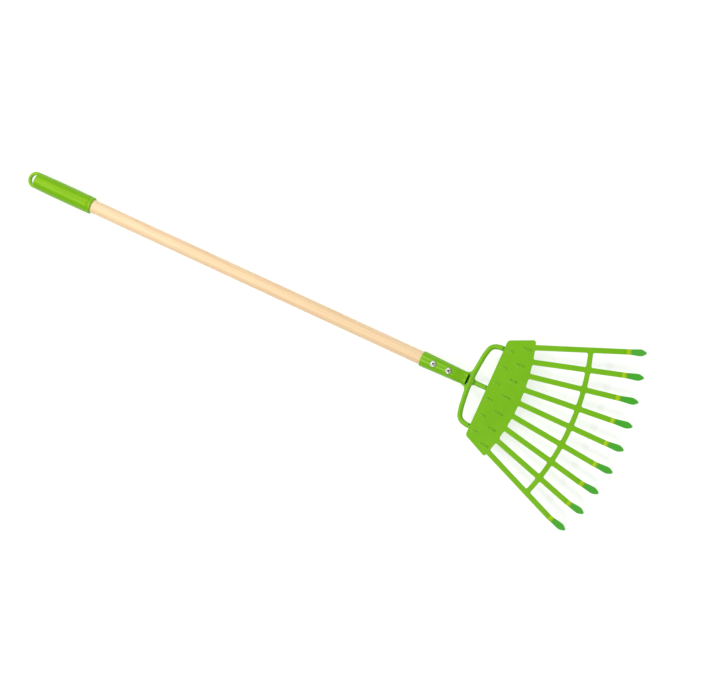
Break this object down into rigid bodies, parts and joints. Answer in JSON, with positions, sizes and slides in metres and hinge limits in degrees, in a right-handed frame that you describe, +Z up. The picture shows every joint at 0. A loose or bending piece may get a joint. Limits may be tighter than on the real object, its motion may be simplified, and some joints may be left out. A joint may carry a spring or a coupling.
{
  "type": "leaf rake",
  "caption": "Child's garden leaf rake: flat fan comb of pressed steel tines on a welded rod yoke, steel ferrule, wooden handle and plastic grip with a hanging loop.",
  "frame": {"origin": "on the ground, in the middle of the rake's footprint as it lies on its tines and grip", "axes": "+X along the handle from the grip towards the tines, +Y to the left of it, +Z up"},
  "size_m": [0.8598, 0.252, 0.0311],
  "materials": {
    "wood": "clear satin lacquer over pale straight-grained wood",
    "grip_plastic": "smooth satin moulded plastic",
    "painted_steel": "satin powder coat",
    "zinc_screws": "bright zinc plate"
  },
  "bodies": {
    "root": {"handle": "wood", "grip": "grip_plastic", "ferrule": "painted_steel", "yoke": "painted_steel", "strut": "painted_steel", "weld_strut": "painted_steel", "weld_ferrule_left": "painted_steel", "weld_ferrule_right": "painted_steel", "weld_plate_left_outer": "painted_steel", "weld_plate_left_inner": "painted_steel", "weld_plate_middle_outer": "painted_steel", "weld_plate_middle_inner": "painted_steel", "weld_plate_right_outer": "painted_steel", "weld_plate_right_inner": "painted_steel", "head_plate": "painted_steel", "tine_1": "painted_steel", "tine_2": "painted_steel", "tine_3": "painted_steel", "tine_4": "painted_steel", "tine_5": "painted_steel", "tine_6": "painted_steel", "tine_7": "painted_steel", "tine_8": "painted_steel", "tine_9": "painted_steel", "brace_1": "painted_steel", "brace_2": "painted_steel", "brace_3": "painted_steel", "brace_4": "painted_steel", "brace_5": "painted_steel", "brace_6": "painted_steel", "brace_7": "painted_steel", "brace_8": "painted_steel", "screw_rear": "zinc_screws", "screw_front": "zinc_screws"}
  },
  "joints": []
}
